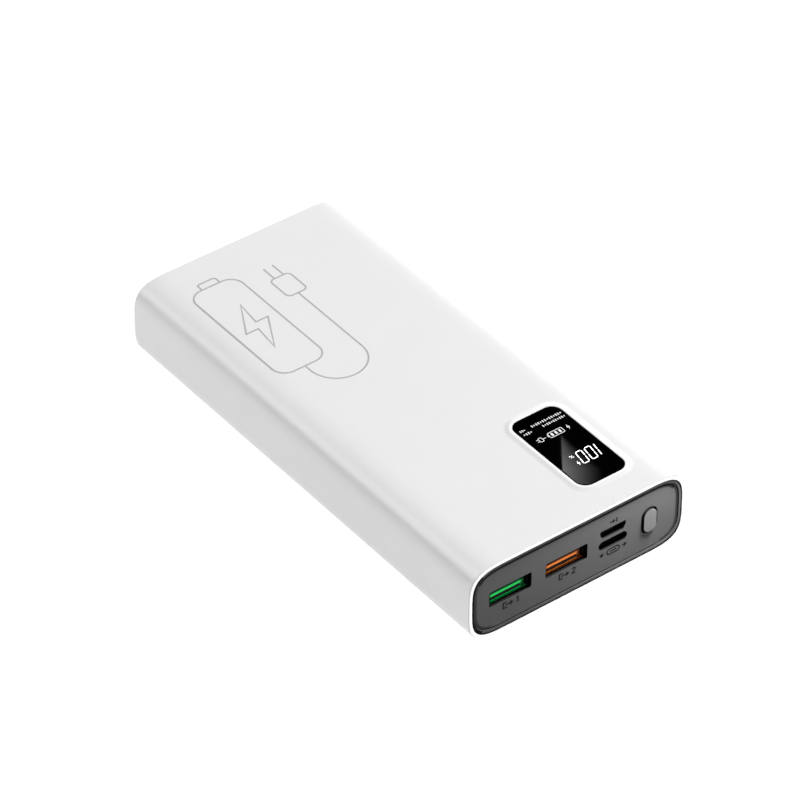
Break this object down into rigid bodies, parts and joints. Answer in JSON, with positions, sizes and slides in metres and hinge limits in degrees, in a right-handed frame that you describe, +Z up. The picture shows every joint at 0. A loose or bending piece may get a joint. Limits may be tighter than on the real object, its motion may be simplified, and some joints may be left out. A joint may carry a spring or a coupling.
{
  "type": "power bank",
  "caption": "Slab-shaped pocket power bank: white tube sleeve, grey plate with charging sockets and a press button at one end, and a raised charge display on top.",
  "frame": {"origin": "centre of the base of the bounding box, on the surface that the power bank lies on", "axes": "+Z up through the display face, +Y along the length away from the sockets, +X across the width towards the side of the display and the button"},
  "size_m": [0.068, 0.142, 0.0234],
  "materials": {
    "white_plastic": "satin white moulded ABS",
    "grey_plastic": "fine-textured mid-grey ABS",
    "button_plastic": "satin light-grey ABS",
    "black_plastic": "black moulded plastic",
    "green_plastic": "green moulded insulator",
    "orange_plastic": "orange moulded insulator",
    "smoked_window": "polished smoked acrylic with printed display",
    "bright_steel": "plated stamped steel",
    "dark_steel": "stamped steel with dark nickel plating",
    "gold_plating": "gold-plated contact",
    "nickel_strip": "bare nickel strip",
    "cell_foil": "laminated aluminium pouch foil",
    "board_green": "green solder mask on glass-epoxy board",
    "ferrite": "pressed ferrite",
    "foam": "closed-cell foam",
    "tape": "double-sided tissue tape",
    "lead_red": "red silicone insulation",
    "lead_black": "black silicone insulation"
  },
  "bodies": {
    "case": {"shell_sleeve": "white_plastic", "rear_cap": "white_plastic", "front_plate": "grey_plastic", "display_window": "smoked_window", "inner_chassis": "black_plastic", "battery_cell_lower": "cell_foil", "battery_cell_upper": "cell_foil", "cell_adhesive_pad": "tape", "foam_pad": "foam", "protection_board": "board_green", "cell_tab_upper_positive": "nickel_strip", "cell_tab_upper_negative": "nickel_strip", "cell_tab_lower_positive": "nickel_strip", "cell_tab_lower_negative": "nickel_strip", "lead_positive": "lead_red", "lead_negative": "lead_black", "main_board": "board_green", "board_screw_1": "bright_steel", "board_screw_2": "bright_steel", "board_screw_3": "bright_steel", "board_screw_4": "bright_steel", "usb_a_shell_1": "dark_steel", "usb_a_shell_2": "dark_steel", "usb_a_tongue_1": "green_plastic", "usb_a_tongue_2": "orange_plastic", "usb_a_contact_1_1": "gold_plating", "usb_a_contact_1_2": "gold_plating", "usb_a_contact_1_3": "gold_plating", "usb_a_contact_1_4": "gold_plating", "usb_a_contact_2_1": "gold_plating", "usb_a_contact_2_2": "gold_plating", "usb_a_contact_2_3": "gold_plating", "usb_a_contact_2_4": "gold_plating", "type_c_shell": "dark_steel", "type_c_tongue": "black_plastic", "micro_usb_shell": "dark_steel", "micro_usb_tongue": "black_plastic", "switch_body": "black_plastic", "switch_cover": "bright_steel", "display_module": "black_plastic", "power_inductor": "ferrite", "output_capacitor_1": "cell_foil", "output_capacitor_2": "cell_foil", "charge_controller": "black_plastic", "boost_controller": "black_plastic"},
    "button": {"power_button": "button_plastic"},
    "plunger": {"switch_plunger": "button_plastic"}
  },
  "joints": [
    {"name": "button_press", "type": "slide", "parent": "case", "child": "button", "axis": [0, 1, 0], "range_m": [0, 0.0004], "stiffness_N_per_m": 1500},
    {"name": "plunger_press", "type": "slide", "parent": "case", "child": "plunger", "axis": [0, 1, 0], "range_m": [0, 0.0004]}
  ],
  "couplings": [
    {"joint": "plunger_press", "follows": "button_press", "ratio": 1}
  ]
}
